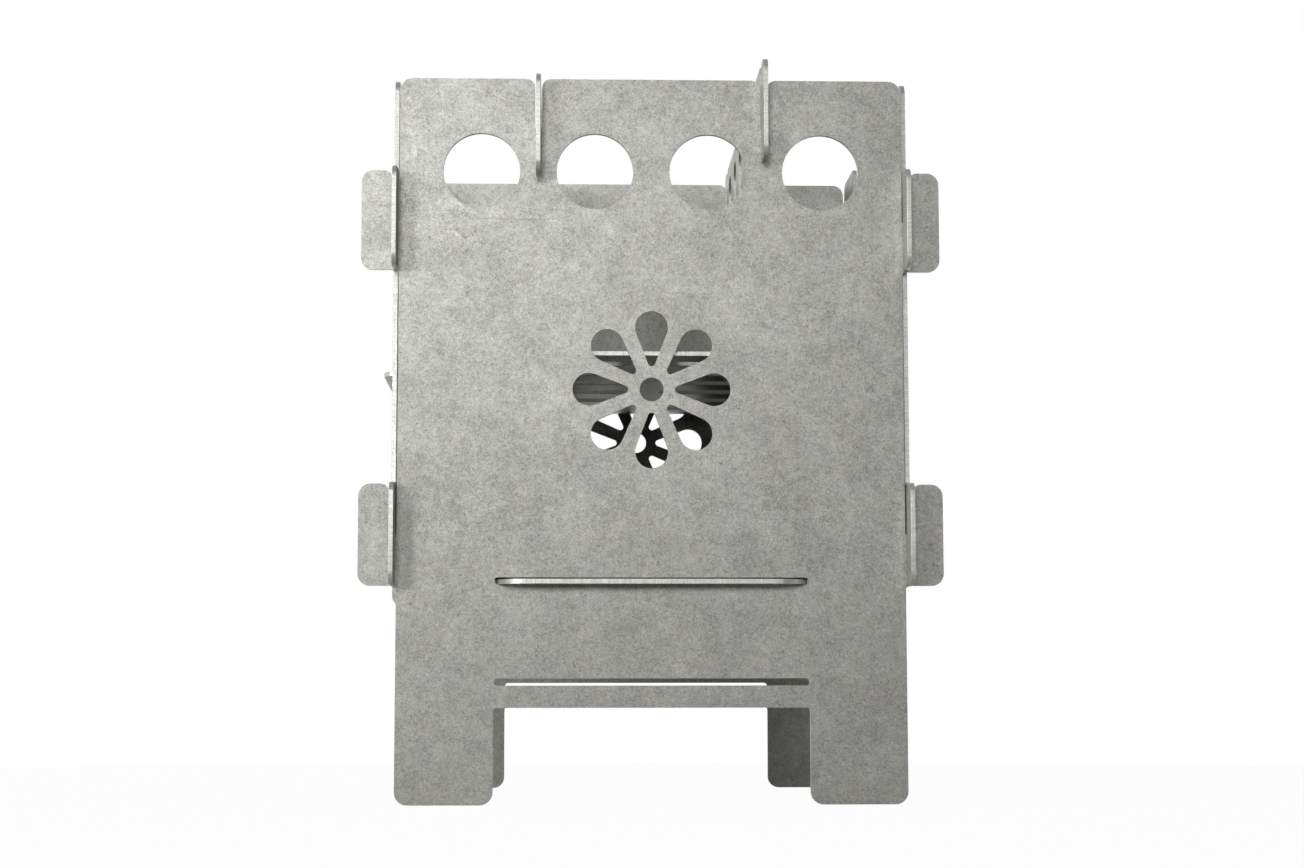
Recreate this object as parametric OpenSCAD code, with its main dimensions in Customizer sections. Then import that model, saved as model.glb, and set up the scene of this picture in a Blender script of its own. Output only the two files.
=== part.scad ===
// Slot-together wood stove of eight flat steel plates, held by half-lap notches and tabs in slots
// Front is -Y, up is +Z, and the origin is on the ground under the middle of the stove

/* [Sheet] */
// Thickness of every plate
sheet_t = 1.5; // [1:0.1:2.5]
// How much wider a notch or a slot is than the sheet that goes in it
notch_play = 0.7; // [0.3:0.05:1]
// Corner radius of ears, tabs and teeth
ear_corner_r = 3.8; // [1:0.1:4]
// Radius of the rounded mouth of a notch
mouth_r = 2.8; // [1:0.1:3.6]
// Small radius inside the corners that a cutter leaves
inner_r = 1; // [0.5:0.1:1.5]
// Corner radius of a slot as a share of the gap beside the tab in it
slot_corner_share = 0.8; // [0.4:0.1:0.9]

/* [Front and back panels] */
// Width of a panel without its ears
panel_w = 160; // [150:1:200]
// Height of a panel from its feet to its top edge
panel_h = 230; // [220:1:260]
// Distance between the outer faces of the front and back panels
stove_d = 163; // [140:1:200]
// Corner radius at the top of a panel
top_corner_r = 4; // [2:0.5:8]
// Corner radius of a foot
foot_corner_r = 4; // [2:0.5:8]
// Width of the opening between the legs
leg_gap_w = 99; // [80:1:110]
// Height of the opening between the legs
leg_gap_h = 30; // [20:1:32]

/* [Ears and laps] */
// How far an ear or a tab reaches out from the edge of its plate
ear_len = 12; // [10:0.5:18]
// Height of an ear
ear_h = 32; // [24:1:40]
// Height of the underside of the lower ears above the ground
ear_low_z = 68; // [60:1:72]
// Height from the lower ears to the upper ears
ear_pitch = 100; // [90:1:108]

/* [Vent holes] */
// Diameter of the round holes along the top
vent_d = 24.4; // [16:0.2:27]
// Distance between the centres of neighbouring holes
vent_pitch = 36; // [34:0.5:38]
// Distance from the top edge to the centres of the holes
vent_drop = 30; // [28:0.5:36]

/* [Central vent] */
// Height of the middle of the vent above the ground
rosette_z = 130; // [122:1:136]
// Number of petal-shaped openings
petal_count = 8; // [5:1:9]
// Radius from the middle of the vent to the outer ends of the petals
rosette_r = 25; // [22:0.5:28]
// Radius from the middle of the vent to the inner ends of the petals
petal_start_r = 7.4; // [7:0.1:9]
// Width of a petal at its outer end
petal_w = 10.4; // [7:0.2:11]
// Width of a petal at its inner end
petal_tip_w = 2.4; // [1.6:0.2:3]
// Diameter of the hole in the middle of the vent
rosette_hole_d = 7.6; // [4:0.2:8]

/* [Slots for the ash plate] */
// Length of the long slots in the panels
plate_slot_len = 98.6; // [90:0.2:120]
// Height of the underside of the lower slot, which stays free
low_slot_z = 36.9; // [35:0.1:40]
// Height of the underside of the upper slot, in which the ash plate lies
high_slot_z = 68.4; // [60:0.1:80]
// How far the tabs of the ash plate stand out of the panels
ash_tab_out = 6; // [4:0.5:10]
// Corner radius of the tabs of the ash plate
ash_tab_r = 9.6; // [5:0.2:12]

/* [Side panels] */
// Width of the shoulders on both sides of the feed opening in the top edge
feed_shoulder_w = 29.65; // [20:0.05:45]
// Depth of the feed opening
feed_depth = 50; // [30:1:56]
// Corner radius at the bottom of the feed opening
feed_corner_r = 12; // [4:1:20]
// Corner radius at the upper ends of the feed opening
feed_lip_r = 2; // [1:0.5:4]

/* [Fire grate] */
// Height of the underside of the grate above the ground
grate_z = 141; // [136:0.5:150]
// Length of the side tabs that carry the grate
grate_tab_len = 57; // [40:1:70]
// How far the side tabs stand out of the side panels
grate_tab_out = 6.5; // [4:0.5:10]
// Number of slots in each of the two columns
grate_slot_count = 6; // [3:1:7]
// Width of the solid strip between the first slot and the front edge, and likewise at the back
grate_end_land = 14.15; // [6:0.05:20]
// Width of a slot
grate_slot_w = 10; // [6:0.2:14]
// Width of the bar between the two columns
grate_spine_w = 12; // [8:0.5:20]
// Width of the rim outside the columns
grate_rim_w = 10; // [8:0.5:16]

/* [Pot supports] */
// Height of a pot support
support_h = 32; // [30:0.5:36]
// Depth of the notch that sets a pot support high when it is turned over
shallow_notch = 10.7; // [8:0.1:11]
// Number of slots in a pot support
support_slot_count = 6; // [3:1:7]
// Width of the solid strip between the first slot and the notches
support_end_land = 7.35; // [4:0.05:20]
// Width of a slot of a pot support
support_slot_w = 13.6; // [6:0.2:15]
// Height of the rims above and below the slots
support_rim_h = 5; // [4:0.5:7]

/* [Hidden] */
$fn = 64;
steel = "#a9aaa6";
steel_dark = "#8f908d";

// Overrun of every cut
cut = 0.5;
// Width of a notch or a slot that takes one sheet
notch_w = sheet_t + notch_play;
// Gap between a sheet and the edge of the notch that it stands in
notch_gap = notch_play / 2;
// Radius in the corners of a slot, small enough for the square edges of a tab
slot_corner_r = slot_corner_share * notch_gap;
// Depth of each half of a lap
lap_h = ear_h / 2;
// Depth of the notches for the pot supports
top_notch_h = support_h / 2;
// Half the depth of the side panels, the grate and the pot supports without their tabs
inner_half_d = stove_d / 2 - sheet_t - notch_gap;
// Distance from the middle to the inner face of a side panel
side_x = panel_w / 2 + notch_gap;
// Half the width of the grate and the ash plate without their tabs
inner_half_w = side_x - notch_gap;
// Height of the bottom edge of the side panels, level with their lower tabs
side_low_z = ear_low_z;
// Distance from the middle to a pot support, midway between the two outer holes
support_x = vent_pitch;
// Height of the floor of the notches for the pot supports
seat_z = panel_h - top_notch_h;
// Outer ends of the tabs of the grate
grate_tab_x = side_x + sheet_t + grate_tab_out;
// Length of a slot in the grate
grate_slot_len = inner_half_w - grate_rim_w - grate_spine_w / 2;
// Distance between neighbouring slots in the grate
grate_slot_pitch = (2 * (inner_half_d - grate_end_land) - grate_slot_w) / (grate_slot_count - 1);
// Distance between neighbouring slots in a pot support
support_slot_pitch = (2 * (inner_half_d - support_end_land) - support_slot_w) / (support_slot_count - 1);
// Width of the feed opening
feed_w = 2 * (inner_half_d - feed_shoulder_w);

// What is taken off a square corner at the origin, whose plate lies towards -X and -Y
module corner_nip(r) {
    difference() {
        translate([-r, -r]) square([r + cut, r + cut]);
        translate([-r, -r]) circle(r = r);
    }
}

// What fills an inner corner at the origin, whose open side lies towards +X and +Y
module corner_fill(r) {
    difference() {
        translate([-cut, -cut]) square([r + cut, r + cut]);
        translate([r, r]) circle(r = r);
    }
}

// A slot with round ends, long in X and centred on the origin
module round_slot(length, width) {
    square([length - width, width], center = true);
    for (side = [-1, 1]) translate([side * (length - width) / 2, 0]) circle(d = width);
}

// A slot for the tab of a sheet, long in X and centred on the origin
module sheet_slot(length) {
    difference() {
        square([length, notch_w], center = true);
        for (side = [0, 1], end = [0, 1]) mirror([side, 0]) mirror([0, end]) {
            translate([length / 2, notch_w / 2]) corner_nip(slot_corner_r);
        }
    }
}

// An ear on the edge of a plate at the origin, reaching towards +X, with its notch open at the top
module ear() {
    difference() {
        translate([-cut, 0]) square([ear_len + cut, ear_h]);
        translate([0, ear_h - lap_h]) square([notch_w, lap_h + cut]);
        translate([ear_len, ear_h]) corner_nip(ear_corner_r);
        translate([ear_len, 0]) mirror([0, 1]) corner_nip(ear_corner_r);
        translate([notch_w, ear_h]) mirror([1, 0]) corner_nip(mouth_r);
    }
    mirror([0, 1]) corner_fill(inner_r);
}

// An upright notch at the origin that opens upwards at the given depth, with a rounded mouth
module mouth_notch(depth) {
    translate([-notch_w / 2, 0]) square([notch_w, depth + cut]);
    for (side = [0, 1]) mirror([side, 0]) translate([-notch_w / 2, depth]) corner_nip(mouth_r);
}

// One petal of the central vent, pointing along +X
module petal() {
    far = rosette_r - petal_w / 2;
    near = petal_start_r + petal_tip_w / 2;
    lean = asin((petal_w - petal_tip_w) / 2 / (far - near));
    side_dir = [-sin(lean), cos(lean)];
    far_touch = [far, 0] + petal_w / 2 * side_dir;
    near_touch = [near, 0] + petal_tip_w / 2 * side_dir;
    translate([far, 0]) circle(d = petal_w);
    translate([near, 0]) circle(d = petal_tip_w);
    polygon([near_touch, far_touch, [far_touch[0], -far_touch[1]], [near_touch[0], -near_touch[1]]]);
}

module rosette() {
    circle(d = rosette_hole_d);
    for (i = [0 : petal_count - 1]) rotate(90 + 360 * i / petal_count) petal();
}

// Outline of the front and the back panel, seen from the front
module panel_outline() {
    difference() {
        union() {
            translate([-panel_w / 2, 0]) square([panel_w, panel_h]);
            for (side = [0, 1], row = [0, 1]) {
                mirror([side, 0]) translate([panel_w / 2, ear_low_z + row * ear_pitch]) ear();
            }
        }
        for (side = [0, 1]) mirror([side, 0]) {
            translate([panel_w / 2, panel_h]) corner_nip(top_corner_r);
            translate([panel_w / 2, 0]) mirror([0, 1]) corner_nip(foot_corner_r);
            translate([leg_gap_w / 2, 0]) rotate(180) corner_nip(foot_corner_r);
            translate([support_x, seat_z]) mouth_notch(top_notch_h);
            for (step = [0.5, 1.5]) {
                translate([step * vent_pitch, panel_h - vent_drop]) circle(d = vent_d);
            }
        }
        difference() {
            translate([-leg_gap_w / 2, -cut]) square([leg_gap_w, leg_gap_h + cut]);
            for (side = [0, 1]) mirror([side, 0]) {
                translate([-leg_gap_w / 2, leg_gap_h]) mirror([0, 1]) corner_fill(inner_r);
            }
        }
        translate([0, rosette_z]) rosette();
        for (z = [low_slot_z, high_slot_z]) {
            translate([0, z + notch_w / 2]) sheet_slot(plate_slot_len);
        }
    }
}

// Outline of a side panel, with the depth of the stove along X
module side_outline() {
    difference() {
        union() {
            translate([-inner_half_d, side_low_z]) square([2 * inner_half_d, panel_h - side_low_z]);
            for (end = [0, 1], row = [0, 1]) mirror([end, 0]) {
                translate([inner_half_d, ear_low_z + ear_h + row * ear_pitch]) mirror([0, 1]) ear();
            }
        }
        for (end = [0, 1]) mirror([end, 0]) {
            translate([inner_half_d, panel_h]) corner_nip(top_corner_r);
            translate([inner_half_d, side_low_z]) mirror([0, 1]) corner_nip(mouth_r);
            translate([feed_w / 2, panel_h]) mirror([1, 0]) corner_nip(feed_lip_r);
        }
        difference() {
            translate([-feed_w / 2, panel_h - feed_depth]) square([feed_w, feed_depth + cut]);
            for (end = [0, 1]) mirror([end, 0]) {
                translate([-feed_w / 2, panel_h - feed_depth]) corner_fill(feed_corner_r);
            }
        }
        translate([0, grate_z + notch_w / 2]) sheet_slot(grate_tab_len + notch_play);
    }
}

// Outline of the fire grate, seen from above
module grate_outline() {
    slot_x = grate_spine_w / 2 + grate_slot_len / 2;
    difference() {
        square([2 * inner_half_w, 2 * inner_half_d], center = true);
        for (side = [0, 1], end = [0, 1]) mirror([side, 0]) mirror([0, end]) {
            translate([inner_half_w, inner_half_d]) corner_nip(ear_corner_r);
        }
        for (side = [-1, 1], i = [0 : grate_slot_count - 1]) {
            translate([side * slot_x, (i - (grate_slot_count - 1) / 2) * grate_slot_pitch]) {
                round_slot(grate_slot_len, grate_slot_w);
            }
        }
    }
    difference() {
        square([2 * grate_tab_x, grate_tab_len], center = true);
        square([2 * (inner_half_w - cut), grate_tab_len + 2 * cut], center = true);
        for (side = [0, 1], end = [0, 1]) mirror([side, 0]) mirror([0, end]) {
            translate([grate_tab_x, grate_tab_len / 2]) corner_nip(ear_corner_r);
        }
    }
}

// Outline of the ash plate, seen from above
module ash_outline() {
    tab_half_w = (plate_slot_len - notch_play) / 2;
    tab_end = stove_d / 2 + ash_tab_out;
    difference() {
        union() {
            square([2 * inner_half_w, 2 * inner_half_d], center = true);
            square([2 * tab_half_w, 2 * tab_end], center = true);
        }
        for (side = [0, 1], end = [0, 1]) mirror([side, 0]) mirror([0, end]) {
            translate([inner_half_w, inner_half_d]) corner_nip(ear_corner_r);
            translate([tab_half_w, tab_end]) difference() {
                corner_nip(ash_tab_r);
                translate([-ash_tab_r - cut, inner_half_d - tab_end - ash_tab_r]) {
                    square([ash_tab_r + 2 * cut, ash_tab_r]);
                }
            }
        }
    }
}

// Outline of a pot support, with the depth of the stove along X and its deep notches at the bottom
module support_outline() {
    tooth_end = inner_half_d + ear_len;
    slot_h = support_h - 2 * support_rim_h;
    difference() {
        translate([-tooth_end, 0]) square([2 * tooth_end, support_h]);
        for (end = [0, 1]) mirror([end, 0]) {
            translate([tooth_end, support_h]) corner_nip(ear_corner_r);
            translate([tooth_end, 0]) mirror([0, 1]) corner_nip(ear_corner_r);
            translate([inner_half_d + notch_w / 2, support_h - shallow_notch]) mouth_notch(shallow_notch);
            translate([inner_half_d + notch_w / 2, top_notch_h]) mirror([0, 1]) mouth_notch(top_notch_h);
        }
        for (i = [0 : support_slot_count - 1]) {
            translate([(i - (support_slot_count - 1) / 2) * support_slot_pitch, support_h / 2]) {
                rotate(90) round_slot(slot_h, support_slot_w);
            }
        }
    }
}

// Stands an outline up across the stove, with its thickness towards -Y
module across() {
    rotate([90, 0, 0]) linear_extrude(sheet_t) children();
}

// Stands an outline up along the stove, with its thickness towards +X
module along() {
    rotate([90, 0, 90]) linear_extrude(sheet_t) children();
}

module front_panel() {
    color(steel) translate([0, sheet_t - stove_d / 2, 0]) across() panel_outline();
}

module back_panel() {
    color(steel) translate([0, stove_d / 2, 0]) across() panel_outline();
}

module left_side_panel() {
    color(steel_dark) translate([-side_x - sheet_t, 0, 0]) along() side_outline();
}

module right_side_panel() {
    color(steel_dark) translate([side_x, 0, 0]) along() side_outline();
}

module fire_grate() {
    color(steel_dark) translate([0, 0, grate_z]) linear_extrude(sheet_t) grate_outline();
}

module ash_plate() {
    color(steel_dark) translate([0, 0, high_slot_z]) linear_extrude(sheet_t) ash_outline();
}

// Seated low, with its top edge level with the panels
module left_pot_support() {
    color(steel) translate([-support_x - sheet_t / 2, 0, seat_z - top_notch_h]) along() support_outline();
}

// Turned over, so that its shallow notches hold it above the panels
module right_pot_support() {
    color(steel) translate([support_x - sheet_t / 2, 0, seat_z - shallow_notch + support_h]) {
        along() mirror([0, 1]) support_outline();
    }
}

front_panel();
back_panel();
left_side_panel();
right_side_panel();
fire_grate();
ash_plate();
left_pot_support();
right_pot_support();
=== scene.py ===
import math

import bpy
from mathutils import Matrix, Vector


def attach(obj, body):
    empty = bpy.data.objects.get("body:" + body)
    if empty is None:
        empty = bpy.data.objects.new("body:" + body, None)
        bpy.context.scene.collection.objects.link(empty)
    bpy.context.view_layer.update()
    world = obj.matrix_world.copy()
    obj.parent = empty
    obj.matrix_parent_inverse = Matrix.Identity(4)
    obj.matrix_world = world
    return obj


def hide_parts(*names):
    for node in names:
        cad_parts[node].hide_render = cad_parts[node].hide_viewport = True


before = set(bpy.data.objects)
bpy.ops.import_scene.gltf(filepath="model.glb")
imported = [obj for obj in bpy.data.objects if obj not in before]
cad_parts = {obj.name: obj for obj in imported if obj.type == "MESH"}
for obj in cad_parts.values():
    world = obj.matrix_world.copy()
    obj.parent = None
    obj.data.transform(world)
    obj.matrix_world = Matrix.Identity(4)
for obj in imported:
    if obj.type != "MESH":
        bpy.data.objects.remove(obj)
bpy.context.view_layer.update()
print("frame loaded:", len(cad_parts), "plates")

mm = 0.001  # sizes of plates and patterns are in millimetres, and those of the studio in metres

sheet = {
    "thickness": 1.5,
    "play": 0.7,
    "earCorner": 3.8,
    "mouthCorner": 2.8,
    "innerCorner": 1.0,
    "slotCorner": 1.0,  # the solids keep a tighter corner, for their clearances
    "leastSteps": 4,  # of a rounded corner
    "stepsPerMm": 1.6,  # of the radius of a rounded corner
    "holeSteps": 11,  # in each corner of a hole
    "petalSteps": 56,
    "middleSteps": 32,
    "weld": 0.004,  # distance under which points are merged
    "edgeRound": 0.17,
    "edgeSteps": 2,
    "edgeAngle": 50,  # least angle in degrees of an edge that is rounded
}


# Adds a node with its settings. An input is named by its label or place, and takes a value, a socket or a
# node, whose first output is then used. Sockets that the settings switch off don't count
def addNode(tree, kind, inputs=None, **settings):
    node = tree.nodes.new(kind)
    for name, value in settings.items():
        setattr(node, name, value)
    for key, value in (inputs or {}).items():
        sockets = [s for s in node.inputs if s.enabled]
        socket = sockets[key] if isinstance(key, int) else next(s for s in sockets if s.name == key)
        if isinstance(value, bpy.types.Node):
            value = next(s for s in value.outputs if s.enabled)
        if isinstance(value, bpy.types.NodeSocket):
            tree.links.new(value, socket)
        else:
            socket.default_value = value
    return node


def linearColour(hexColour):
    channels = [int(hexColour[i:i + 2], 16) / 255 for i in (1, 3, 5)]
    return [c / 12.92 if c <= 0.04045 else ((c + 0.055) / 1.055) ** 2.4 for c in channels] + [1.0]


# A closed loop through corners given as (x, y, radius), with each corner rounded off
def roundedLoop(corners):
    loop = []
    for i, (x, y, radius) in enumerate(corners):
        corner = Vector((x, y))
        if radius == 0:
            loop.append(corner)
            continue
        back = (Vector(corners[i - 1][:2]) - corner).normalized()
        ahead = (Vector(corners[(i + 1) % len(corners)][:2]) - corner).normalized()
        half = back.angle(ahead) / 2
        centre = corner + (back + ahead).normalized() * radius / math.sin(half)
        start = corner + back * radius / math.tan(half) - centre
        turn = start.angle_signed(corner + ahead * radius / math.tan(half) - centre)
        steps = max(sheet["leastSteps"], round(radius * sheet["stepsPerMm"]))
        for k in range(steps + 1):
            loop.append(centre + Matrix.Rotation(-turn * k / steps, 2) @ start)
    return loop


# The half of an outline from the bottom middle to the top middle, and its mirror image
def mirrored(half):
    return half + [(-x, y, radius) for x, y, radius in reversed(half)]


# Cold rolled stainless sheet, tumbled after cutting: the skin left by the rolls and the stones of the tumbler
# gives a grey and even face with a fine mottle, a few dark pits and short broken creases. The real grain is
# too fine to show in the render, and is drawn coarser
rolledLook = {
    "seed": 2.0,
    "tones": ((0.36, "#8c8c88"), (0.5, "#a9a9a5"), (0.64, "#c4c4bf")),
    "tints": ((0.4, "#fffdfc"), (0.6, "#fdfffe")),
    "pit": "#5f5e5b",
    "grainSize": 0.42,
    "wormSize": 1.3,
    "blotchSize": 3.4,
    "cloudSize": 13.0,
    "tintSize": 8.0,
    "creaseSize": 2.6,
    "breakSize": 1.3,
    "creaseShare": 0.55,
    "pitSpacing": 3.6,
    "pitSize": 0.3,
    "roughness": (0.46, 0.42),  # in dark and in light grain
    "bump": 0.016,
}
# The cut edge of the same sheet, with fine lines across the thickness of the sheet, which are drawn coarser
# than the real ones too. Its lighter tones are a painted highlight, for the light that its rounded edges
# catch
cutMarksAndPaintedHighlight = {
    "seed": 11.0,
    "tones": ((0.36, "#c6c6c2"), (0.5, "#dadad6"), (0.64, "#ebebe8")),
    "tints": ((0.4, "#fffdfb"), (0.6, "#fdfffe")),
    "pit": "#8a8985",
    "grainSize": 0.3,
    "wormSize": 0.8,
    "blotchSize": 2.2,
    "cloudSize": 9.0,
    "tintSize": 6.0,
    "creaseSize": 1.6,
    "breakSize": 0.8,
    "creaseShare": 0.3,
    "pitSpacing": 2.4,
    "pitSize": 0.2,
    "roughness": (0.52, 0.44),
    "bump": 0.024,
    "lineSpacing": 0.34,
    "lineLength": 6.0,
    "lineDetail": 1.0,
    "lineStops": (0.36, 0.62),
    "lineTones": (0.88, 1.05),
    "lineSeed": 29,
}
# What both looks share. A layer of noise has a detail, a distortion and what it adds to the seed
tumble = {
    "layers": {
        "grain": (1.0, 0.0, 0), "worm": (2.0, 1.2, 3), "blotch": (3.0, 0.6, 7), "cloud": (2.0, 0.0, 11),
        "tint": (2.0, 0.0, 13), "crease": (3.0, 0.5, 19), "break": (1.0, 0.0, 23)},
    "toneShares": {"grain": 0.36, "worm": 0.28, "blotch": 0.2, "cloud": 0.16},
    "noiseRoughness": 0.6,
    "seedMove": (1.0, 0.37, 0.61),
    "pitSeed": 17,
    "pitCore": 0.5,  # of the radius of a pit
    "pitShare": 0.7,
    "creaseMiddle": 0.5,
    "creaseWidth": (0.004, 0.016),
    "breakStops": (0.48, 0.6),
    "glossStops": (0.38, 0.62),
    "bumpStrength": 0.5,
}
# One long handling scratch on the face of the front panel, as (x, z) from end to end
scratchLook = {
    "start": (-62.4, 184.7),
    "end": (-32.3, 184.2),
    "width": 0.16,
    "core": 0.3,  # of the width
    "fadeFrom": 0.6,  # of the way from the middle to an end
    "share": 0.36,
}


# A pattern whose cells have a real size along x, y and z
def sizedPattern(tree, kind, coords, size, seed, inputs):
    moved = addNode(tree, "ShaderNodeMapping", {
        "Vector": coords, "Location": [seed * step for step in tumble["seedMove"]],
        "Scale": [1 / (s * mm) for s in size]})
    return addNode(tree, kind, {"Vector": moved, "Scale": 1.0, **inputs})


# The fine lines of a cut edge, whose long way is the thickness axis of the sheet
def cutLines(tree, coords, look, axis):
    size = [look["lineLength"] if letter == axis else look["lineSpacing"] for letter in "XYZ"]
    field = sizedPattern(tree, "ShaderNodeTexNoise", coords, size, look["seed"] + look["lineSeed"], {
        "Detail": look["lineDetail"]})
    return addNode(tree, "ShaderNodeMapRange", {
        "Value": field, "From Min": look["lineStops"][0], "From Max": look["lineStops"][1],
        "To Min": look["lineTones"][0], "To Max": look["lineTones"][1]})


# A mask for one straight scratch in the plane of the front panel, fading out at both ends
def scratchMask(tree, coords):
    start, end = (Vector(scratchLook[key]) * mm for key in ("start", "end"))
    slope = (end.y - start.y) / (end.x - start.x)
    middle, half = (start.x + end.x) / 2, (end.x - start.x) / 2
    width = scratchLook["width"] * mm
    parts = addNode(tree, "ShaderNodeSeparateXYZ", {"Vector": coords}).outputs
    line = addNode(tree, "ShaderNodeMath", {
        0: parts["X"], 1: slope, 2: start.y - slope * start.x}, operation="MULTIPLY_ADD")
    mask = scratchLook["share"]
    for place, target, inner, outer in (
            (parts["Z"], line, width * scratchLook["core"], width),
            (parts["X"], middle, half * scratchLook["fadeFrom"], half)):
        away = addNode(tree, "ShaderNodeMath", {0: place, 1: target}, operation="SUBTRACT")
        distance = addNode(tree, "ShaderNodeMath", {0: away}, operation="ABSOLUTE")
        inside = addNode(tree, "ShaderNodeMapRange", {
            "Value": distance, "From Min": inner, "From Max": outer, "To Min": 1.0, "To Max": 0.0})
        mask = addNode(tree, "ShaderNodeMath", {0: inside, 1: mask}, operation="MULTIPLY")
    return mask


# A tumbled finish of four layers of grain from fine to wide, with a faint tint, pits and creases over them.
# Given a thickness axis it is a cut edge
def steelFinish(name, look, axis=None, scratched=False):
    material = bpy.data.materials.new(name)
    material.use_nodes = True
    tree = material.node_tree
    tree.nodes.clear()
    coords = addNode(tree, "ShaderNodeTexCoord").outputs["Object"]
    fields = {}
    for layer, (detail, distortion, step) in tumble["layers"].items():
        size = [look[layer + "Size"]] * 3
        fields[layer] = sizedPattern(tree, "ShaderNodeTexNoise", coords, size, look["seed"] + step, {
            "Detail": detail, "Roughness": tumble["noiseRoughness"], "Distortion": distortion})
    tone = 0.0
    for layer, share in tumble["toneShares"].items():
        tone = addNode(tree, "ShaderNodeMath", {
            0: fields[layer], 1: share, 2: tone}, operation="MULTIPLY_ADD")
    ramps = []
    for field, stops in ((tone, look["tones"]), (fields["tint"], look["tints"])):
        ramp = addNode(tree, "ShaderNodeValToRGB", {"Fac": field})
        for place, hexColour in stops[1:-1]:
            ramp.color_ramp.elements.new(place)
        for element, (place, hexColour) in zip(ramp.color_ramp.elements, stops):
            element.position = place
            element.color = linearColour(hexColour)
        ramps.append(ramp)
    tinted = addNode(tree, "ShaderNodeMix", {
        "Factor": 1.0, "A": ramps[0], "B": ramps[1]}, data_type="RGBA", blend_type="MULTIPLY")
    size = [look["pitSpacing"]] * 3
    cells = sizedPattern(tree, "ShaderNodeTexVoronoi", coords, size, look["seed"] + tumble["pitSeed"], {})
    pitRadius = look["pitSize"] / look["pitSpacing"]
    pits = addNode(tree, "ShaderNodeMapRange", {
        "Value": cells, "From Min": pitRadius * tumble["pitCore"], "From Max": pitRadius,
        "To Min": tumble["pitShare"], "To Max": 0.0})
    # Thin winding lines where a noise passes its middle value, broken up by another noise
    winding = addNode(tree, "ShaderNodeMath", {
        0: fields["crease"], 1: tumble["creaseMiddle"]}, operation="SUBTRACT")
    offMiddle = addNode(tree, "ShaderNodeMath", {0: winding}, operation="ABSOLUTE")
    line = addNode(tree, "ShaderNodeMapRange", {
        "Value": offMiddle, "From Min": tumble["creaseWidth"][0], "From Max": tumble["creaseWidth"][1],
        "To Min": look["creaseShare"], "To Max": 0.0})
    breaks = addNode(tree, "ShaderNodeMapRange", {
        "Value": fields["break"], "From Min": tumble["breakStops"][0], "From Max": tumble["breakStops"][1]})
    creases = addNode(tree, "ShaderNodeMath", {0: line, 1: breaks}, operation="MULTIPLY")
    colour = tinted
    for mask in (pits, creases):
        colour = addNode(tree, "ShaderNodeMix", {
            "Factor": mask, "A": colour, "B": linearColour(look["pit"])}, data_type="RGBA")
    if axis:
        colour = addNode(tree, "ShaderNodeMix", {
            "Factor": 1.0, "A": colour, "B": cutLines(tree, coords, look, axis)},
            data_type="RGBA", blend_type="MULTIPLY")
    if scratched:
        colour = addNode(tree, "ShaderNodeMix", {
            "Factor": scratchMask(tree, coords), "A": colour, "B": linearColour(look["pit"])},
            data_type="RGBA")
    gloss = addNode(tree, "ShaderNodeMapRange", {
        "Value": tone, "From Min": tumble["glossStops"][0], "From Max": tumble["glossStops"][1],
        "To Min": look["roughness"][0], "To Max": look["roughness"][1]})
    bump = addNode(tree, "ShaderNodeBump", {
        "Height": tone, "Strength": tumble["bumpStrength"], "Distance": look["bump"] * mm})
    shader = addNode(tree, "ShaderNodeBsdfPrincipled", {
        "Base Color": colour, "Metallic": 1.0, "Roughness": gloss, "Normal": bump})
    addNode(tree, "ShaderNodeOutputMaterial", {"Surface": shader})
    return material


rolledSteel = steelFinish("tumbledRolledSteel", rolledLook)
scratchedSteel = steelFinish("tumbledScratchedSteel", rolledLook, scratched=True)
# The cut finish carries a painted highlight in its lighter tones, on the cut edges and on their rounding
cutSteel = {axis: steelFinish("tumbledCutEdgePaintedHighlight" + axis, cutMarksAndPaintedHighlight, axis) for axis in "XYZ"}
print("finishes made")


def newTree(name, inputs):
    tree = bpy.data.node_groups.new(name, "GeometryNodeTree")
    for label, kind in inputs:
        tree.interface.new_socket(name=label, in_out="INPUT", socket_type="NodeSocket" + kind)
    tree.interface.new_socket(name="Geometry", in_out="OUTPUT", socket_type="NodeSocketGeometry")
    return tree, addNode(tree, "NodeGroupInput").outputs, addNode(tree, "NodeGroupOutput")


# Ends a tree with copies of a cutting curve, moved to the centre of their field
def endWithCopies(tree, result, copies, centre):
    placed = addNode(tree, "GeometryNodeTransform", {"Geometry": copies, "Translation": centre})
    real = addNode(tree, "GeometryNodeRealizeInstances", {"Geometry": placed})
    tree.links.new(real.outputs["Geometry"], result.inputs["Geometry"])


# Named inputs of the trees for holes and petals, which the plate tree has too
holeInputs = (
    ("Columns", "Int"), ("Rows", "Int"), ("Column Pitch", "Float"), ("Row Pitch", "Float"),
    ("Width", "Float"), ("Height", "Float"), ("Corner", "Float"), ("Centre", "Vector"))
petalInputs = (
    ("Petals", "Int"), ("Petal Reach", "Float"), ("Petal Start", "Float"), ("Petal Outer Width", "Float"),
    ("Petal Inner Width", "Float"), ("Petal Centre", "Vector"))


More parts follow.
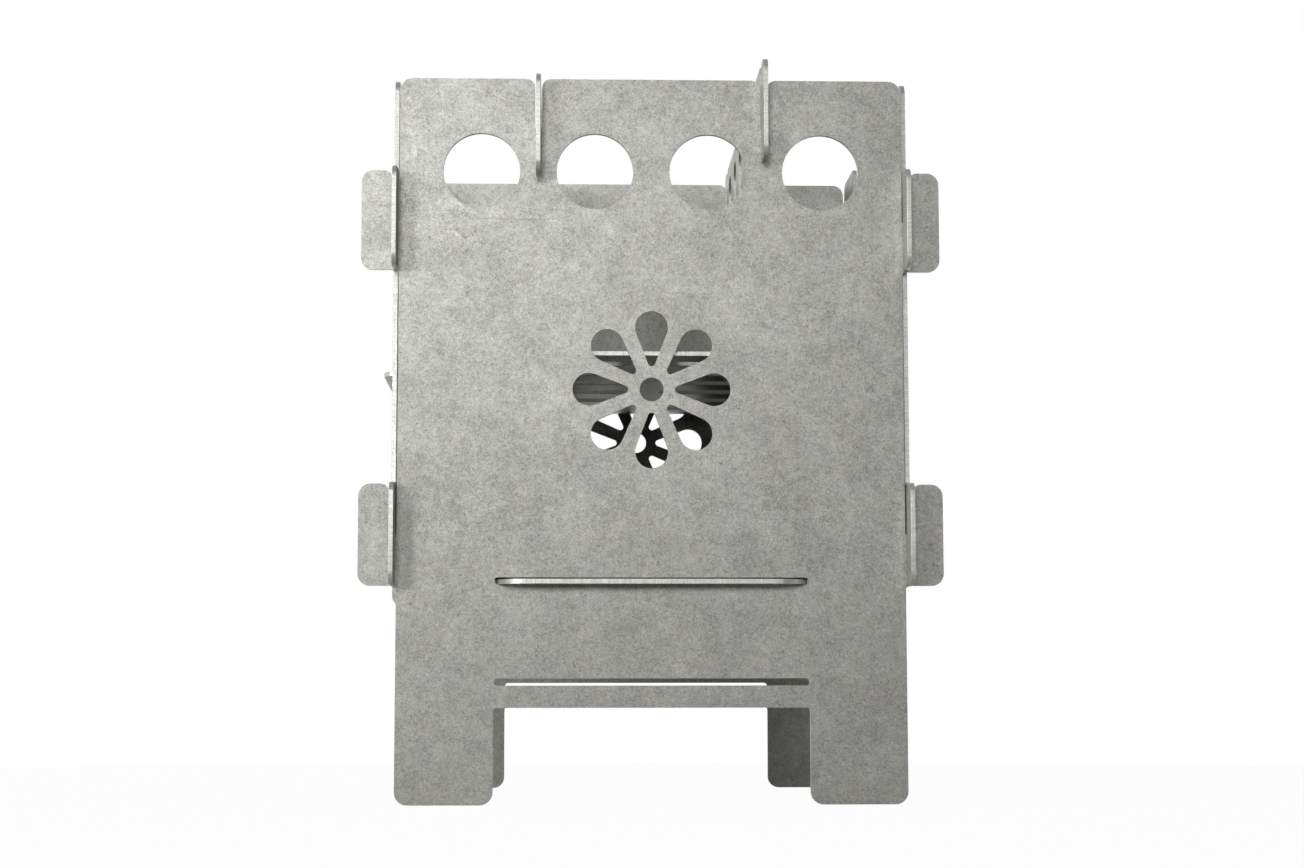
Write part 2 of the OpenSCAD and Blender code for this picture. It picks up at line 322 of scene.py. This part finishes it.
# Holes with rounded corners, in rows and columns about a centre
def makeHoleField():
    tree, given, result = newTree("holeField", holeInputs)
    spans = []
    for pitch, count in (("Column Pitch", "Columns"), ("Row Pitch", "Rows")):
        gaps = addNode(tree, "ShaderNodeMath", {0: given[count], 1: 1.0}, operation="SUBTRACT")
        spans.append(addNode(tree, "ShaderNodeMath", {0: given[pitch], 1: gaps}, operation="MULTIPLY"))
    grid = addNode(tree, "GeometryNodeMeshGrid", {
        "Size X": spans[0], "Size Y": spans[1], "Vertices X": given["Columns"], "Vertices Y": given["Rows"]})
    box = addNode(tree, "GeometryNodeCurvePrimitiveQuadrilateral", {
        "Width": given["Width"], "Height": given["Height"]}, mode="RECTANGLE")
    hole = addNode(tree, "GeometryNodeFilletCurve", {
        "Curve": box, "Count": sheet["holeSteps"], "Radius": given["Corner"], "Limit Radius": True},
        mode="POLY")
    holes = addNode(tree, "GeometryNodeInstanceOnPoints", {"Points": grid, "Instance": hole})
    endWithCopies(tree, result, holes, given["Centre"])
    return tree


# A ring of petals about a centre. A petal is the outline round a wide outer circle and a narrow inner one
def makePetalRing():
    tree, given, result = newTree("petalRing", petalInputs)
    outerRadius, innerRadius = (
        addNode(tree, "ShaderNodeMath", {0: given[width], 1: 0.5}, operation="MULTIPLY")
        for width in ("Petal Outer Width", "Petal Inner Width"))
    outerCentre = addNode(tree, "ShaderNodeMath", {
        0: given["Petal Reach"], 1: outerRadius}, operation="SUBTRACT")
    innerCentre = addNode(tree, "ShaderNodeMath", {0: given["Petal Start"], 1: innerRadius}, operation="ADD")
    circle = addNode(tree, "GeometryNodeCurvePrimitiveCircle", {
        "Resolution": sheet["petalSteps"], "Radius": 1.0}, mode="RADIUS")
    direction = addNode(tree, "GeometryNodeInputPosition")
    outward = addNode(tree, "ShaderNodeSeparateXYZ", {"Vector": direction}).outputs["X"]
    outerSpan, innerSpan = (
        addNode(tree, "ShaderNodeMath", {0: outward, 1: centre, 2: radius}, operation="MULTIPLY_ADD")
        for centre, radius in ((outerCentre, outerRadius), (innerCentre, innerRadius)))
    onOuter = addNode(tree, "ShaderNodeMath", {0: outerSpan, 1: innerSpan}, operation="GREATER_THAN")
    radius = addNode(tree, "GeometryNodeSwitch", {
        "Switch": onOuter, "False": innerRadius, "True": outerRadius}, input_type="FLOAT")
    centre = addNode(tree, "GeometryNodeSwitch", {
        "Switch": onOuter, "False": innerCentre, "True": outerCentre}, input_type="FLOAT")
    scaled = addNode(tree, "ShaderNodeVectorMath", {0: direction, "Scale": radius}, operation="SCALE")
    shift = addNode(tree, "ShaderNodeCombineXYZ", {"X": centre})
    place = addNode(tree, "ShaderNodeVectorMath", {0: scaled, 1: shift}, operation="ADD")
    petal = addNode(tree, "GeometryNodeSetPosition", {"Geometry": circle, "Position": place})
    points = addNode(tree, "GeometryNodePoints", {"Count": given["Petals"]})
    step = addNode(tree, "ShaderNodeMath", {0: math.tau, 1: given["Petals"]}, operation="DIVIDE")
    index = addNode(tree, "GeometryNodeInputIndex")
    angle = addNode(tree, "ShaderNodeMath", {0: index, 1: step, 2: math.pi / 2}, operation="MULTIPLY_ADD")
    euler = addNode(tree, "ShaderNodeCombineXYZ", {"Z": angle})
    turn = addNode(tree, "FunctionNodeEulerToRotation", {"Euler": euler})
    petals = addNode(tree, "GeometryNodeInstanceOnPoints", {
        "Points": points, "Instance": petal, "Rotation": turn})
    endWithCopies(tree, result, petals, given["Petal Centre"])
    return tree


# An outline with two fields of holes and a ring of petals cut out of it, as thick as the sheet
def makeCutPlate(holeField, petalRing):
    tree, given, result = newTree("cutPlate", [
        ("Outline", "Geometry"), ("Thickness", "Float"),
        *((label + " " + name, kind) for label in ("Hole", "Slot") for name, kind in holeInputs),
        *petalInputs, ("Middle Hole", "Float"), ("Sheet Finish", "Material"), ("Cut Finish", "Material")])
    curves = [addNode(tree, "GeometryNodeMeshToCurve", {"Mesh": given["Outline"]})]
    for label in ("Hole", "Slot"):
        curves.append(addNode(tree, "GeometryNodeGroup", {
            name: given[label + " " + name] for name, kind in holeInputs}, node_tree=holeField))
    curves.append(addNode(tree, "GeometryNodeGroup", {
        name: given[name] for name, kind in petalInputs}, node_tree=petalRing))
    middleRadius = addNode(tree, "ShaderNodeMath", {0: given["Middle Hole"], 1: 0.5}, operation="MULTIPLY")
    middle = addNode(tree, "GeometryNodeCurvePrimitiveCircle", {
        "Resolution": sheet["middleSteps"], "Radius": middleRadius}, mode="RADIUS")
    placed = addNode(tree, "GeometryNodeTransform", {
        "Geometry": middle, "Translation": given["Petal Centre"]})
    curves.append(addNode(tree, "GeometryNodeSwitch", {
        "Switch": given["Petals"], "True": placed}, input_type="GEOMETRY"))  # no middle hole without petals
    joined = addNode(tree, "GeometryNodeJoinGeometry")
    for curve in curves:
        tree.links.new(curve.outputs[0], joined.inputs[0])
    filled = addNode(tree, "GeometryNodeFillCurve", {"Curve": joined}, mode="NGONS")
    clean = addNode(tree, "GeometryNodeMergeByDistance", {"Geometry": filled, "Distance": sheet["weld"] * mm})
    raised = addNode(tree, "GeometryNodeExtrudeMesh", {
        "Mesh": clean, "Offset Scale": given["Thickness"], "Individual": False}, mode="FACES")
    under = addNode(tree, "GeometryNodeFlipFaces", {"Mesh": clean})
    shells = addNode(tree, "GeometryNodeJoinGeometry")
    for shell in (under, raised):
        tree.links.new(shell.outputs["Mesh"], shells.inputs[0])
    closed = addNode(tree, "GeometryNodeMergeByDistance", {
        "Geometry": shells, "Distance": sheet["weld"] * mm})
    real = addNode(tree, "GeometryNodeRealizeInstances", {"Geometry": closed})
    faced = addNode(tree, "GeometryNodeSetMaterial", {"Geometry": real, "Material": given["Sheet Finish"]})
    edged = addNode(tree, "GeometryNodeSetMaterial", {
        "Geometry": faced, "Selection": raised.outputs["Side"], "Material": given["Cut Finish"]})
    tree.links.new(edged.outputs["Geometry"], result.inputs["Geometry"])
    return tree


cutPlate = makeCutPlate(makeHoleField(), makePetalRing())
plateInputs = [item for item in cutPlate.interface.items_tree if item.in_out == "INPUT"]
socketOf = {item.name: item.identifier for item in plateInputs}
lengths = [item.name for item in plateInputs if item.socket_type in ("NodeSocketFloat", "NodeSocketVector")]
print("plate tree made")


# Places of a plate that was drawn flat, with its thickness axis: standing across the stove, standing along
# it, or lying
def across(y):
    return Matrix.Translation((0, y * mm, 0)) @ Matrix.Rotation(math.pi / 2, 4, "X"), "Y"


def along(x):
    turn = Matrix.Rotation(math.pi / 2, 4, "Z") @ Matrix.Rotation(math.pi / 2, 4, "X")
    return Matrix.Translation((x * mm, 0, 0)) @ turn, "X"


def lying(z):
    return Matrix.Translation((0, 0, z * mm)), "Z"


def bake(source, name):
    bpy.context.view_layer.update()
    ready = source.evaluated_get(bpy.context.evaluated_depsgraph_get())
    made = bpy.data.meshes.new_from_object(ready)
    made.name = name
    return made


def makePlate(name, node, body, corners, place, cuts, finish=rolledSteel):
    matrix, axis = place
    loop = roundedLoop(corners)
    count = len(loop)
    flat = bpy.data.meshes.new(name + "Outline")
    flat.from_pydata([(p.x * mm, p.y * mm, 0) for p in loop],
                     [(i, (i + 1) % count) for i in range(count)], [])
    work = bpy.data.objects.new(name + "Work", flat)
    bpy.context.scene.collection.objects.link(work)
    cutter = work.modifiers.new("cutPlate", "NODES")
    cutter.node_group = cutPlate
    wanted = {"Thickness": sheet["thickness"], "Sheet Finish": finish, "Cut Finish": cutSteel[axis],
              "Hole Columns": 0, "Hole Rows": 0, "Slot Columns": 0, "Slot Rows": 0, "Petals": 0, **cuts}
    for label, value in wanted.items():
        if label in lengths:
            value = [v * mm for v in value] if isinstance(value, tuple) else value * mm
        cutter[socketOf[label]] = value
    solid = bake(work, name + "Cut")
    solid.materials.pop(index=0)  # the tree leaves its first slot empty
    work.modifiers.clear()
    work.data = solid
    solid.transform(matrix)
    for face in solid.polygons:
        face.use_smooth = True
    # The rounding takes the cut finish, and with it the painted highlight
    edge = work.modifiers.new("edgeRound", "BEVEL")
    edge.width = sheet["edgeRound"] * mm
    edge.segments = sheet["edgeSteps"]
    edge.limit_method = "ANGLE"
    edge.angle_limit = math.radians(sheet["edgeAngle"])
    edge.harden_normals = True
    edge.material = 1  # the cut finish
    rounded = bake(work, name)
    bpy.data.objects.remove(work)
    piece = bpy.data.objects.new(name, rounded)
    bpy.context.scene.collection.objects.link(piece)
    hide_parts(node)
    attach(piece, body)
    print("plate made:", name, len(rounded.polygons), "faces")


panel = {
    "width": 160.0,
    "height": 230.0,
    "stoveDepth": 163.0,
    "topCorner": 4.0,
    "footCorner": 4.0,
    "legGapWidth": 99.0,
    "legGapHeight": 30.0,
    "earLength": 12.0,
    "earHeight": 32.0,
    "earLow": 68.0,
    "earPitch": 100.0,
    "vents": 4,
    "ventDiameter": 24.4,
    "ventPitch": 36.0,
    "ventDrop": 30.0,
    "slotLength": 98.6,
    "lowSlot": 36.9,
    "highSlot": 68.4,
    "petals": 8,
    "petalCentre": 130.0,
    "petalReach": 25.0,
    "petalStart": 7.4,
    "petalOuterWidth": 10.4,
    "petalInnerWidth": 2.4,
    "middleHole": 7.6,
}
notchWidth = sheet["thickness"] + sheet["play"]
notchGap = sheet["play"] / 2
halfWidth = panel["width"] / 2
halfInner = panel["stoveDepth"] / 2 - sheet["thickness"] - notchGap
lapHeight = panel["earHeight"] / 2


def earCorners(edge, low, length):
    top = low + panel["earHeight"]
    return [(edge, low, sheet["innerCorner"]), (edge + length, low, sheet["earCorner"]),
            (edge + length, top, sheet["earCorner"]), (edge + notchWidth, top, sheet["mouthCorner"]),
            (edge + notchWidth, top - lapHeight, 0), (edge, top - lapHeight, 0)]


def panelCorners():
    half = [(panel["legGapWidth"] / 2, panel["legGapHeight"], sheet["innerCorner"]),
            (panel["legGapWidth"] / 2, 0, panel["footCorner"]), (halfWidth, 0, panel["footCorner"])]
    for row in (0, 1):
        half += earCorners(halfWidth, panel["earLow"] + row * panel["earPitch"], panel["earLength"])
    notch = panel["ventPitch"] + notchWidth / 2
    floor = panel["height"] - lapHeight
    half += [(halfWidth, panel["height"], panel["topCorner"]), (notch, panel["height"], sheet["mouthCorner"]),
             (notch, floor, 0), (notch - notchWidth, floor, 0),
             (notch - notchWidth, panel["height"], sheet["mouthCorner"])]
    return mirrored(half)


panelCuts = {
    "Hole Columns": panel["vents"], "Hole Rows": 1, "Hole Column Pitch": panel["ventPitch"],
    "Hole Row Pitch": 0.0,
    "Hole Width": panel["ventDiameter"], "Hole Height": panel["ventDiameter"],
    "Hole Corner": panel["ventDiameter"] / 2, "Hole Centre": (0, panel["height"] - panel["ventDrop"], 0),
    "Slot Columns": 1, "Slot Rows": 2, "Slot Column Pitch": 0.0,
    "Slot Row Pitch": panel["highSlot"] - panel["lowSlot"],
    "Slot Width": panel["slotLength"], "Slot Height": notchWidth, "Slot Corner": sheet["slotCorner"],
    "Slot Centre": (0, (panel["highSlot"] + panel["lowSlot"] + notchWidth) / 2, 0),
    "Petals": panel["petals"], "Petal Reach": panel["petalReach"], "Petal Start": panel["petalStart"],
    "Petal Outer Width": panel["petalOuterWidth"], "Petal Inner Width": panel["petalInnerWidth"],
    "Middle Hole": panel["middleHole"], "Petal Centre": (0, panel["petalCentre"], 0),
}
makePlate("frontPanel", "front_panel", "frame", panelCorners(),
          across(sheet["thickness"] - panel["stoveDepth"] / 2), panelCuts, scratchedSteel)
makePlate("backPanel", "back_panel", "frame", panelCorners(), across(panel["stoveDepth"] / 2), panelCuts)


side = {
    "shoulder": 29.65,
    "feedDepth": 50.0,
    "feedCorner": 12.0,
    "feedLip": 2.0,
    "slotLength": 57.7,
    "slotLow": 141.0,
}
sideX = halfWidth + notchGap


def sideCorners():
    feedHalf = halfInner - side["shoulder"]
    tip = halfInner + panel["earLength"]
    half = [(halfInner, panel["earLow"], sheet["mouthCorner"])]
    for row in (0, 1):
        bottom = panel["earLow"] + row * panel["earPitch"]
        top = bottom + panel["earHeight"]
        half += [(halfInner, bottom + lapHeight, 0), (halfInner + notchWidth, bottom + lapHeight, 0),
                 (halfInner + notchWidth, bottom, sheet["mouthCorner"]), (tip, bottom, sheet["earCorner"]),
                 (tip, top, sheet["earCorner"]), (halfInner, top, sheet["innerCorner"])]
    half += [(halfInner, panel["height"], panel["topCorner"]), (feedHalf, panel["height"], side["feedLip"]),
             (feedHalf, panel["height"] - side["feedDepth"], side["feedCorner"])]
    return mirrored(half)


sideCuts = {
    "Slot Columns": 1, "Slot Rows": 1, "Slot Width": side["slotLength"], "Slot Height": notchWidth,
    "Slot Corner": sheet["slotCorner"], "Slot Centre": (0, side["slotLow"] + notchWidth / 2, 0),
}
makePlate("leftSidePanel", "left_side_panel", "left_side", sideCorners(),
          along(-sideX - sheet["thickness"]), sideCuts)
makePlate("rightSidePanel", "right_side_panel", "right_side", sideCorners(), along(sideX), sideCuts)


grate = {
    "height": 141.0,
    "tabLength": 57.0,
    "tabOut": 6.5,
    "rows": 6,
    "rowPitch": 24.2,
    "slotWidth": 10.0,
    "spine": 12.0,
    "rim": 10.0,
}
grateTip = sideX + sheet["thickness"] + grate["tabOut"]
grateSlot = halfWidth - grate["rim"] - grate["spine"] / 2
grateHalf = [(halfWidth, -halfInner, sheet["earCorner"]), (halfWidth, -grate["tabLength"] / 2, 0),
             (grateTip, -grate["tabLength"] / 2, sheet["earCorner"]),
             (grateTip, grate["tabLength"] / 2, sheet["earCorner"]), (halfWidth, grate["tabLength"] / 2, 0),
             (halfWidth, halfInner, sheet["earCorner"])]
makePlate("fireGrate", "fire_grate", "grate", mirrored(grateHalf), lying(grate["height"]), {
    "Hole Columns": 2, "Hole Rows": grate["rows"], "Hole Column Pitch": grate["spine"] + grateSlot,
    "Hole Row Pitch": grate["rowPitch"], "Hole Width": grateSlot, "Hole Height": grate["slotWidth"],
    "Hole Corner": grate["slotWidth"] / 2, "Hole Centre": (0, 0, 0)})

ash = {"height": 68.4, "tabOut": 6.0, "tabCorner": 9.6}
ashTabHalf = (panel["slotLength"] - sheet["play"]) / 2
ashTip = panel["stoveDepth"] / 2 + ash["tabOut"]
ashHalf = [(ashTabHalf, -ashTip, ash["tabCorner"]), (ashTabHalf, -halfInner, 0),
           (halfWidth, -halfInner, sheet["earCorner"]), (halfWidth, halfInner, sheet["earCorner"]),
           (ashTabHalf, halfInner, 0), (ashTabHalf, ashTip, ash["tabCorner"])]
makePlate("ashPlate", "ash_plate", "frame", mirrored(ashHalf), lying(ash["height"]), {})


support = {
    "height": 32.0,
    "deepNotch": 16.0,
    "shallowNotch": 10.7,
    "slots": 6,
    "slotPitch": 26.2,
    "slotWidth": 13.6,
    "rim": 5.0,
}


# Seated with its deep notches down, or turned over to stand higher on its shallow ones
def supportCorners(turned):
    tip = halfInner + panel["earLength"]
    deep = support["deepNotch"]
    shallow = support["height"] - support["shallowNotch"]
    half = [(halfInner, 0, sheet["mouthCorner"]), (halfInner, deep, 0), (halfInner + notchWidth, deep, 0),
            (halfInner + notchWidth, 0, sheet["mouthCorner"]), (tip, 0, sheet["earCorner"]),
            (tip, support["height"], sheet["earCorner"]),
            (halfInner + notchWidth, support["height"], sheet["mouthCorner"]),
            (halfInner + notchWidth, shallow, 0), (halfInner, shallow, 0),
            (halfInner, support["height"], sheet["mouthCorner"])]
    seat = panel["height"] - lapHeight
    low = seat - (support["shallowNotch"] if turned else deep)
    if turned:
        half = [(x, support["height"] - y, radius) for x, y, radius in reversed(half)]
    return [(x, y + low, radius) for x, y, radius in mirrored(half)], low + support["height"] / 2


for name, node, body, turned, x in (
        ("leftPotSupport", "left_pot_support", "left_support", False, -panel["ventPitch"]),
        ("rightPotSupport", "right_pot_support", "right_support", True, panel["ventPitch"])):
    corners, middle = supportCorners(turned)
    makePlate(name, node, body, corners, along(x - sheet["thickness"] / 2), {
        "Hole Columns": support["slots"], "Hole Rows": 1, "Hole Column Pitch": support["slotPitch"],
        "Hole Row Pitch": 0.0, "Hole Width": support["slotWidth"],
        "Hole Height": support["height"] - 2 * support["rim"], "Hole Corner": support["slotWidth"] / 2,
        "Hole Centre": (0, middle, 0)})


studio = {
    "floorRadius": 0.5,
    "floorSteps": 96,
    "floorColour": "#b4b4b2",
    "white": "#ffffff",
    "floorGlow": 0.97,
    # painted shade: the floor that the metal sees is dimmed within a round just in front of the stove
    "paintedShadeCentre": (0.0, -0.22, 0.0),
    "paintedShadeRadius": (0.3, 0.42),
    "shine": (0.12, 0.9),  # of the floor in the metal, inside and outside the dim round
    "behind": (-0.8, 0.3),  # from the front of the room to its white back, along y
    "above": (0.15, 0.8),  # from the low part of the room to its ceiling, along z
    "low": (0.0, 1.0),  # light of the low part, at the front and behind
    "high": (0.2, 0.45),
}


def makeFloor():
    steps = studio["floorSteps"]
    mesh = bpy.data.meshes.new("floor")
    ring = [(studio["floorRadius"] * math.cos(2 * math.pi * k / steps),
             studio["floorRadius"] * math.sin(2 * math.pi * k / steps), 0) for k in range(steps)]
    mesh.from_pydata(ring, [], [tuple(range(steps))])
    floor = bpy.data.objects.new("floor", mesh)
    bpy.context.scene.collection.objects.link(floor)
    material = bpy.data.materials.new("paleFloor")
    material.use_nodes = True
    tree = material.node_tree
    tree.nodes.clear()
    coords = addNode(tree, "ShaderNodeTexCoord").outputs["Object"]
    # Painted shade: within a round in front of the stove, the floor glows less where the metal sees it
    away = addNode(tree, "ShaderNodeVectorMath", {0: coords, 1: studio["paintedShadeCentre"]}, operation="DISTANCE")
    share = addNode(tree, "ShaderNodeMapRange", {
        "Value": away, "From Min": studio["paintedShadeRadius"][0], "From Max": studio["paintedShadeRadius"][1],
        "To Min": studio["shine"][0], "To Max": studio["shine"][1]}, interpolation_type="SMOOTHSTEP")
    rays = addNode(tree, "ShaderNodeLightPath").outputs
    shine = addNode(tree, "ShaderNodeMath", {0: rays["Is Glossy Ray"], 1: share}, operation="MULTIPLY")
    seen = addNode(tree, "ShaderNodeMath", {
        0: rays["Is Camera Ray"], 1: rays["Is Transmission Ray"]}, operation="MAXIMUM")
    either = addNode(tree, "ShaderNodeMath", {0: seen, 1: shine}, operation="MAXIMUM")
    glowing = addNode(tree, "ShaderNodeMath", {0: either, 1: studio["floorGlow"]}, operation="MULTIPLY")
    paint = addNode(tree, "ShaderNodeBsdfDiffuse", {"Color": linearColour(studio["floorColour"])})
    glow = addNode(tree, "ShaderNodeEmission", {"Color": linearColour(studio["white"]), "Strength": 1.0})
    mixed = addNode(tree, "ShaderNodeMixShader", {0: glowing, 1: paint, 2: glow})
    addNode(tree, "ShaderNodeOutputMaterial", {"Surface": mixed})
    mesh.materials.append(material)


# White behind the stove and at its sides, which the metal sees too, and dimmer in front and overhead
def makeWorld():
    world = bpy.data.worlds.new("studioWorld")
    bpy.context.scene.world = world
    world.use_nodes = True
    tree = world.node_tree
    tree.nodes.clear()
    direction = addNode(tree, "ShaderNodeTexCoord").outputs["Generated"]
    parts = addNode(tree, "ShaderNodeSeparateXYZ", {"Vector": direction}).outputs
    behind, above = (
        addNode(tree, "ShaderNodeMapRange", {
            "Value": parts[letter], "From Min": studio[key][0], "From Max": studio[key][1]},
            interpolation_type="SMOOTHSTEP")
        for letter, key in (("Y", "behind"), ("Z", "above")))
    low, high = (
        addNode(tree, "ShaderNodeMix", {"Factor": behind, "A": studio[key][0], "B": studio[key][1]})
        for key in ("low", "high"))
    room = addNode(tree, "ShaderNodeMix", {"Factor": above, "A": low, "B": high})
    rays = addNode(tree, "ShaderNodeLightPath").outputs
    seen = addNode(tree, "ShaderNodeMath", {
        0: rays["Is Camera Ray"], 1: rays["Is Transmission Ray"]}, operation="MAXIMUM")
    notAbove = addNode(tree, "ShaderNodeMath", {0: 1.0, 1: above}, operation="SUBTRACT")
    white = addNode(tree, "ShaderNodeMath", {0: behind, 1: notAbove}, operation="MULTIPLY")
    shine = addNode(tree, "ShaderNodeMath", {0: rays["Is Glossy Ray"], 1: white}, operation="MULTIPLY")
    either = addNode(tree, "ShaderNodeMath", {0: seen, 1: shine}, operation="MAXIMUM")
    strength = addNode(tree, "ShaderNodeMix", {"Factor": either, "A": room, "B": 1.0})
    backdrop = addNode(tree, "ShaderNodeBackground", {
        "Color": linearColour(studio["white"]), "Strength": strength})
    addNode(tree, "ShaderNodeOutputWorld", {"Surface": backdrop})


lamps = {
    "keyBox": {"place": (-0.906, -1.295, 0.37), "size": (0.5, 0.25), "power": 9.9},
    "frontBox": {"place": (-0.213, -1.515, 0.588), "size": (0.3, 0.25), "power": 3.2},
    "rightFill": {"place": (0.22, -1.565, 0.37), "size": (0.3, 0.25), "power": 1.3},
}
lampTarget = (0, 0, 0.12)


def makeLamps():
    for name, lamp in lamps.items():
        light = bpy.data.lights.new(name, "AREA")
        light.shape = "RECTANGLE"
        light.size, light.size_y = lamp["size"]
        light.energy = lamp["power"]
        holder = bpy.data.objects.new(name, light)
        bpy.context.scene.collection.objects.link(holder)
        holder.location = lamp["place"]
        aim = Vector(lampTarget) - Vector(lamp["place"])
        holder.rotation_euler = aim.to_track_quat("-Z", "Y").to_euler()


view = {
    "place": (-0.0287, -0.8595, 0.0311),
    "turn": -2.12,
    "pitch": 6.212,
    "roll": -0.073,
    "lens": 68.54,
    "sensor": 36.0,
    "clip": (0.01, 50.0),
}


def makeCamera():
    data = bpy.data.cameras.new("camera")
    data.sensor_width = view["sensor"]
    data.sensor_fit = "HORIZONTAL"
    data.lens = view["lens"]
    data.clip_start, data.clip_end = view["clip"]
    camera = bpy.data.objects.new("camera", data)
    bpy.context.scene.collection.objects.link(camera)
    camera.matrix_world = (Matrix.Translation(view["place"])
                           @ Matrix.Rotation(math.radians(view["turn"]), 4, "Z")
                           @ Matrix.Rotation(math.radians(90 + view["pitch"]), 4, "X")
                           @ Matrix.Rotation(math.radians(view["roll"]), 4, "Z"))
    bpy.context.scene.camera = camera


makeFloor()
makeWorld()
makeLamps()
makeCamera()
bpy.context.scene.view_settings.view_transform = "Standard"
print("studio made")
